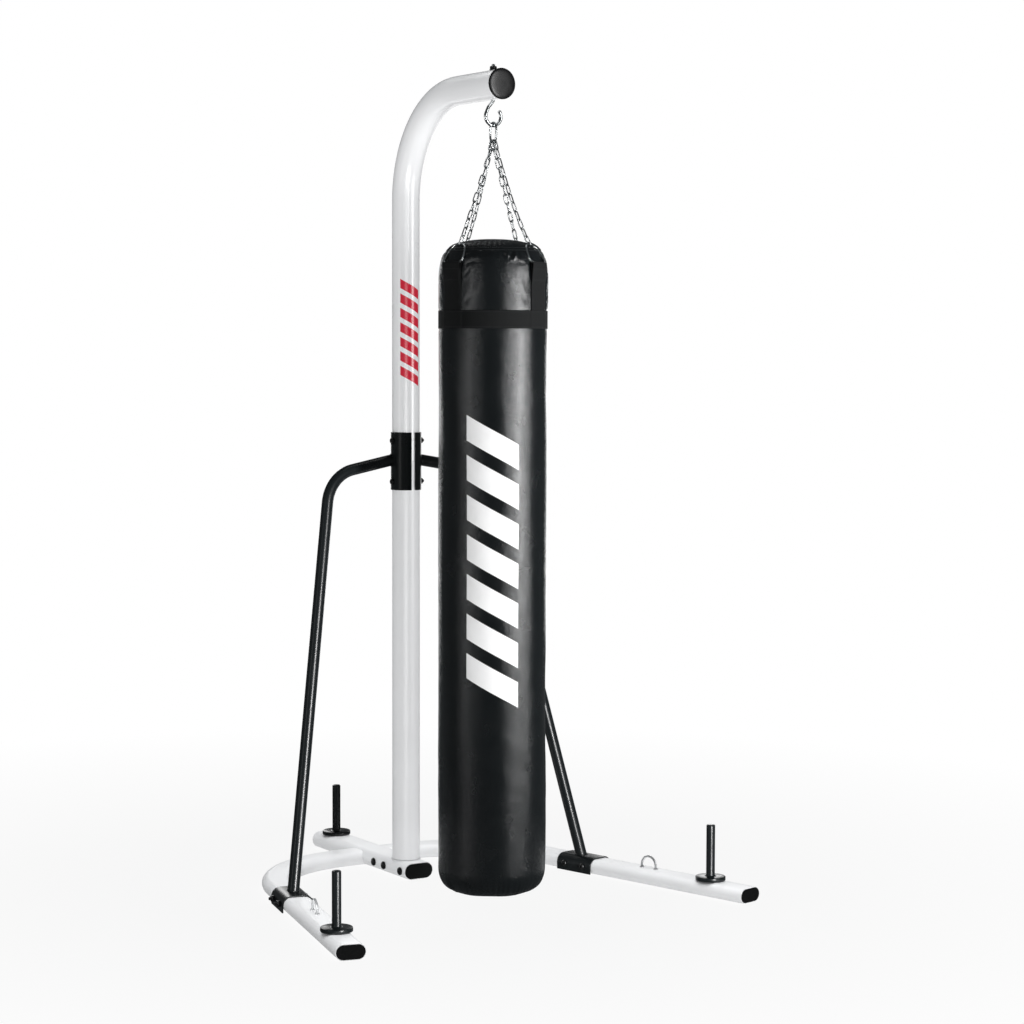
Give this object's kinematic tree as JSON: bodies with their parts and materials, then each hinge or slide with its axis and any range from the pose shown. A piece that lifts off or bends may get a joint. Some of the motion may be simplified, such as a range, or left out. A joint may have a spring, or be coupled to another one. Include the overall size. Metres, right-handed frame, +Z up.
{
  "type": "punching bag on stand",
  "caption": "Heavy punching bag hung on chains from the curved arm of a free-standing steel stand with splayed legs, side braces and weight plate pegs.",
  "frame": {"origin": "on the floor under the pole's axis, on the flat underside of the base spine", "axes": "+Z up along the pole, -Y forward from the pole to the hanging bag, X across the stand"},
  "size_m": [1.3856, 1.3825, 2.384],
  "materials": {
    "white_paint": "smooth gloss powder coat",
    "black_paint": "semi-gloss powder coat",
    "inner_steel": "plain mill steel, hidden inside the tubes",
    "black_plastic": "satin moulded plastic",
    "black_fasteners": "black coated steel",
    "zinc_steel": "bright zinc plated",
    "bag_vinyl": "fine-grained gloss vinyl",
    "bag_filling": "packed shredded fibre",
    "webbing": "woven polyester webbing"
  },
  "bodies": {
    "stand": {"base_spine": "white_paint", "leg_left": "white_paint", "leg_right": "white_paint", "pole_lower": "white_paint", "pole_upper": "white_paint", "pole_shoe": "inner_steel", "leg_joiner": "inner_steel", "pole_coupler": "inner_steel", "spine_cap_front": "black_plastic", "spine_cap_rear": "black_plastic", "leg_cap_left": "black_plastic", "leg_cap_right": "black_plastic", "arm_end_cap": "black_plastic", "sleeve_left": "black_paint", "sleeve_right": "black_paint", "brace_left": "black_paint", "brace_right": "black_paint", "saddle_left": "black_paint", "saddle_right": "black_paint", "weight_peg_left": "black_paint", "weight_peg_right": "black_paint", "weight_peg_rear": "black_paint", "spine_bolt_1": "black_fasteners", "spine_bolt_2": "black_fasteners", "spine_bolt_3": "black_fasteners", "saddle_bolt_left_front": "black_fasteners", "saddle_nut_left_front": "black_fasteners", "saddle_bolt_left_rear": "black_fasteners", "saddle_nut_left_rear": "black_fasteners", "saddle_bolt_right_front": "black_fasteners", "saddle_nut_right_front": "black_fasteners", "saddle_bolt_right_rear": "black_fasteners", "saddle_nut_right_rear": "black_fasteners", "sleeve_bolt_lower": "black_fasteners", "sleeve_nut_lower": "black_fasteners", "sleeve_bolt_upper": "black_fasteners", "sleeve_nut_upper": "black_fasteners", "hook_nut": "black_fasteners", "hook_washer": "black_fasteners", "anchor_loop_left": "zinc_steel", "anchor_loop_right": "zinc_steel", "hook": "zinc_steel"},
    "hanger": {"hanger_link": "zinc_steel"},
    "bag": {"bag_cover": "bag_vinyl", "bag_filling": "bag_filling", "bag_top_panel": "bag_vinyl", "bag_band": "webbing", "strap_front_left": "webbing", "ring_front_left": "zinc_steel", "chain_front_left": "zinc_steel", "strap_front_right": "webbing", "ring_front_right": "zinc_steel", "chain_front_right": "zinc_steel", "strap_rear_right": "webbing", "ring_rear_right": "zinc_steel", "chain_rear_right": "zinc_steel", "strap_rear_left": "webbing", "ring_rear_left": "zinc_steel", "chain_rear_left": "zinc_steel"}
  },
  "joints": [
    {"name": "fore_aft_swing", "type": "hinge", "parent": "stand", "child": "hanger", "pos_m": [0, -0.493, 2.2133], "axis": [1, 0, 0], "range_deg": [-35, 7.5]},
    {"name": "side_swing", "type": "hinge", "parent": "hanger", "child": "bag", "pos_m": [0, -0.493, 2.1656], "axis": [0, 1, 0], "range_deg": [-25, 25]}
  ]
}
